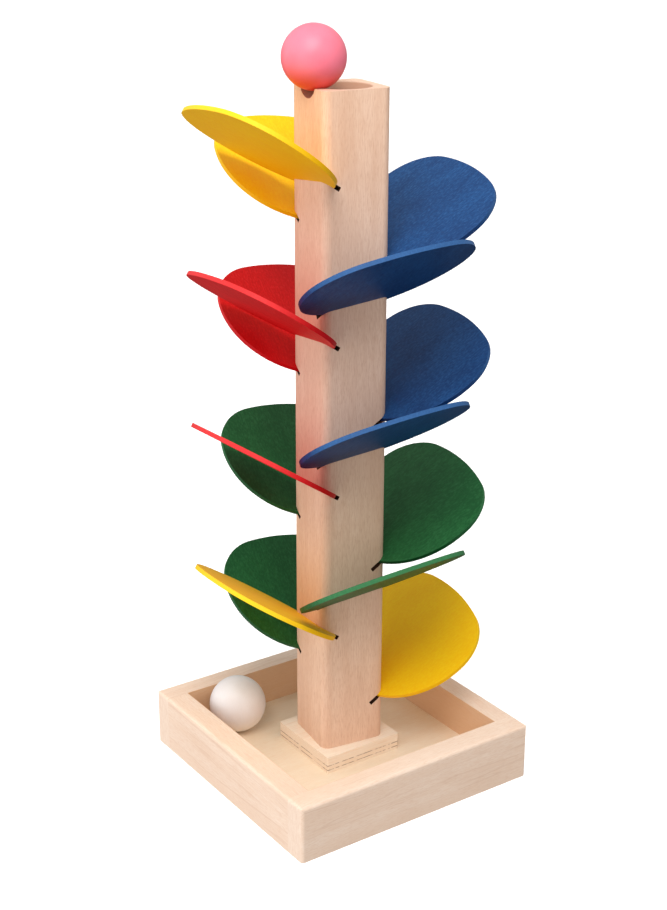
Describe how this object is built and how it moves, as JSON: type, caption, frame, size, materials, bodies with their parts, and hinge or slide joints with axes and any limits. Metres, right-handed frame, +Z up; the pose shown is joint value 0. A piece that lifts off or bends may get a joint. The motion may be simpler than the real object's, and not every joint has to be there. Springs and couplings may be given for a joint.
{
  "type": "marble run",
  "caption": "Tower marble run: a square post with a falling spiral of round leaves, a starting groove on top and a square catch tray, with loose balls.",
  "frame": {"origin": "middle of the tray's underside, on the tower's axis", "axes": "+Z up along the post, X and Y along the tray's sides, with the front rail towards -Y"},
  "size_m": [0.1482, 0.1482, 0.3936],
  "materials": {
    "rail_wood": "sanded pale birch, unvarnished, with eased edges",
    "floor_panel": "thin pale plywood panel, sanded",
    "collar_plywood": "three-ply birch with its plies showing on the edges",
    "post_wood": "sanded beech with fine upright flecks",
    "screw_steel": "plain bright steel",
    "yellow_leaf": "thin plywood stained yellow, matt",
    "blue_leaf": "thin plywood stained blue, matt",
    "red_leaf": "thin plywood stained red, matt",
    "green_leaf": "thin plywood stained green, matt",
    "pink_ball": "wooden ball lacquered pink, satin",
    "plain_ball": "bare pale wooden ball, sanded and waxed"
  },
  "bodies": {
    "tower": {"tray_floor": "floor_panel", "rail_front": "rail_wood", "rail_back": "rail_wood", "rail_left": "rail_wood", "rail_right": "rail_wood", "collar": "collar_plywood", "post": "post_wood", "post_screw": "screw_steel", "leaf_01": "yellow_leaf", "leaf_02": "yellow_leaf", "leaf_03": "blue_leaf", "leaf_04": "blue_leaf", "leaf_05": "red_leaf", "leaf_06": "red_leaf", "leaf_07": "blue_leaf", "leaf_08": "blue_leaf", "leaf_09": "red_leaf", "leaf_10": "green_leaf", "leaf_11": "green_leaf", "leaf_12": "green_leaf", "leaf_13": "yellow_leaf", "leaf_14": "green_leaf", "leaf_15": "yellow_leaf"},
    "ball_on_top": {"ball_pink": "pink_ball"},
    "ball_in_tray": {"ball_white": "plain_ball"}
  },
  "joints": [
    {"name": "top_ball_lift", "type": "slide", "parent": "tower", "child": "ball_on_top", "axis": [0, 0, 1], "range_m": [0, 0.06]},
    {"name": "tray_ball_roll", "type": "slide", "parent": "tower", "child": "ball_in_tray", "axis": [1, 0, 0], "range_m": [-0.0065, 0.0815]}
  ]
}
